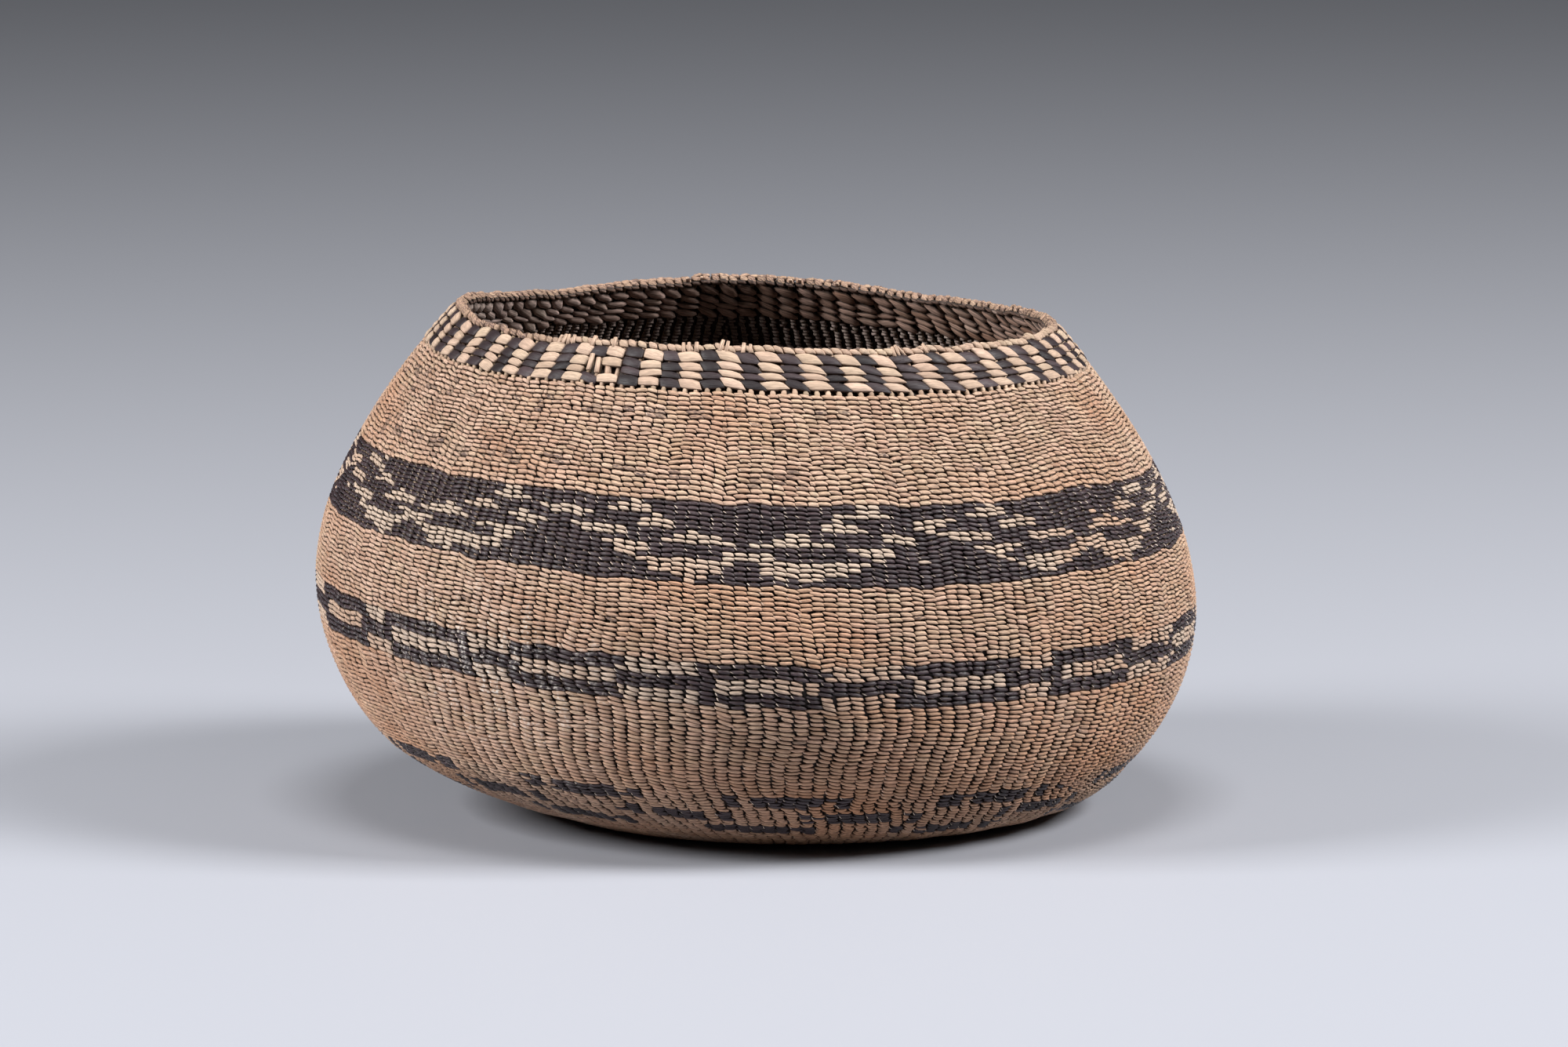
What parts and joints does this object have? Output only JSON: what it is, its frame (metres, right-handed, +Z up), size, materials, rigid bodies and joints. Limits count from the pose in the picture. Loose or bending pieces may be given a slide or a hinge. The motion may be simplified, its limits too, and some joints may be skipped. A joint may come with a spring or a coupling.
{
  "type": "storage basket",
  "caption": "Round-bellied open storage basket in fine plain twining, with traditional geometric bands and a checked rim.",
  "frame": {"origin": "on the floor, under the middle of the belly", "axes": "+Z up through the mouth; the basket leans towards +X, and -Y is the side that the picture shows"},
  "size_m": [0.2998, 0.2998, 0.1738],
  "materials": {
    "tan_weft": "dry split plant fibre, matt, fine twined rows",
    "dark_weft": "dyed plant fibre, near black, faint sheen",
    "patterned_weft": "dark and pale overlay strips side by side",
    "pale_weft": "pale overlay strips, matt",
    "inside_weft": "dark weathered twining inside the basket",
    "warp": "thin peeled rods"
  },
  "bodies": {
    "root": {"start_knot": "tan_weft", "base_course_1": "tan_weft", "base_course_2": "tan_weft", "base_course_3": "tan_weft", "turn_course_1": "tan_weft", "turn_course_2": "tan_weft", "turn_course_3": "tan_weft", "lower_wall_course_1": "tan_weft", "lower_wall_course_2": "tan_weft", "lower_wall_course_3": "tan_weft", "middle_wall_course_1": "tan_weft", "middle_wall_course_2": "tan_weft", "shoulder_course_1": "tan_weft", "shoulder_course_2": "tan_weft", "shoulder_course_3": "tan_weft", "lower_band_bottom_dashes": "dark_weft", "lower_band_middle_dashes": "dark_weft", "lower_band_top_dashes": "dark_weft", "middle_band_bottom_bars": "dark_weft", "middle_band_top_bars": "dark_weft", "upper_band_rising_triangles": "dark_weft", "upper_band_hanging_triangles": "dark_weft", "lower_band_bottom_pale_rows": "pale_weft", "lower_band_top_pale_rows": "pale_weft", "middle_band_centre_bars": "pale_weft", "rim_row": "pale_weft", "upper_band_zigzags": "patterned_weft", "check_row_1": "patterned_weft", "check_row_2": "patterned_weft", "check_row_3": "patterned_weft", "check_row_4": "patterned_weft", "inner_base_courses": "inside_weft", "inner_turn_courses": "inside_weft", "inner_lower_band_courses": "inside_weft", "inner_lower_wall_courses": "inside_weft", "inner_middle_band_courses": "inside_weft", "inner_middle_wall_courses": "inside_weft", "inner_upper_band_courses": "inside_weft", "inner_shoulder_courses": "inside_weft", "inner_check_courses": "inside_weft", "warps": "warp"}
  },
  "joints": []
}
